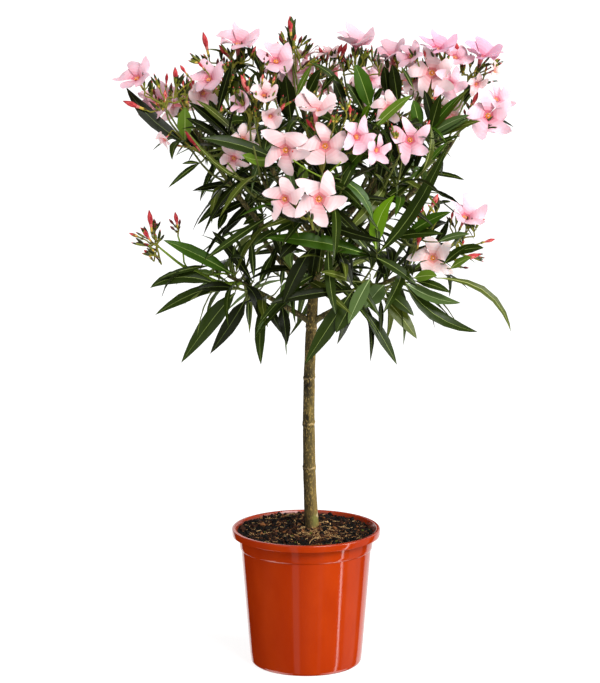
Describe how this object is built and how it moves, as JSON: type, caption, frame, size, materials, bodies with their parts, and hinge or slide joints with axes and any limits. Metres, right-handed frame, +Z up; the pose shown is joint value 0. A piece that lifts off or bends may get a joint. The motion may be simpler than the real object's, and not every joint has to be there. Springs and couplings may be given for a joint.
{
  "type": "potted oleander",
  "caption": "Oleander grown as a small standard: clear trunk, wide head of leafy shoots with pink blossom, in a round plastic nursery pot.",
  "frame": {"origin": "centre of the pot's flat underside, on the ground", "axes": "+Z straight up the plant, -Y to its front, +X to its right as seen from the front"},
  "size_m": [0.546, 0.44, 0.924],
  "materials": {
    "pot_plastic": "gloss",
    "compost": "matte",
    "bark": "matte",
    "leaf": "satin",
    "green_stem": "satin",
    "petal": "satin",
    "bud": "satin"
  },
  "bodies": {
    "root": {"pot": "pot_plastic", "soil": "compost", "trunk": "bark", "bough_low_left": "bark", "bough_low_right": "bark", "bough_low_back": "bark", "bough_low_front": "bark", "bough_mid_left": "bark", "bough_mid_right": "bark", "bough_far_left": "bark", "bough_far_right": "bark", "bough_back_top": "bark", "bough_front_left": "bark", "bough_front_right": "bark", "bough_back_left": "bark", "bough_back_right": "bark", "bough_right_shoulder": "bark", "bough_left_top": "bark", "bough_right_top": "bark", "bough_front": "bark", "bough_centre_top": "bark", "foliage_low_left": "leaf", "foliage_low_right": "leaf", "foliage_low_back": "leaf", "foliage_low_front": "leaf", "foliage_mid_left": "leaf", "foliage_mid_right": "leaf", "foliage_far_left": "leaf", "foliage_far_right": "leaf", "foliage_back_top": "leaf", "foliage_front_left": "leaf", "foliage_front_right": "leaf", "foliage_back_left": "leaf", "foliage_back_right": "leaf", "foliage_right_shoulder": "leaf", "foliage_left_top": "leaf", "foliage_right_top": "leaf", "foliage_front": "leaf", "foliage_centre_top": "leaf"}
  },
  "joints": []
}
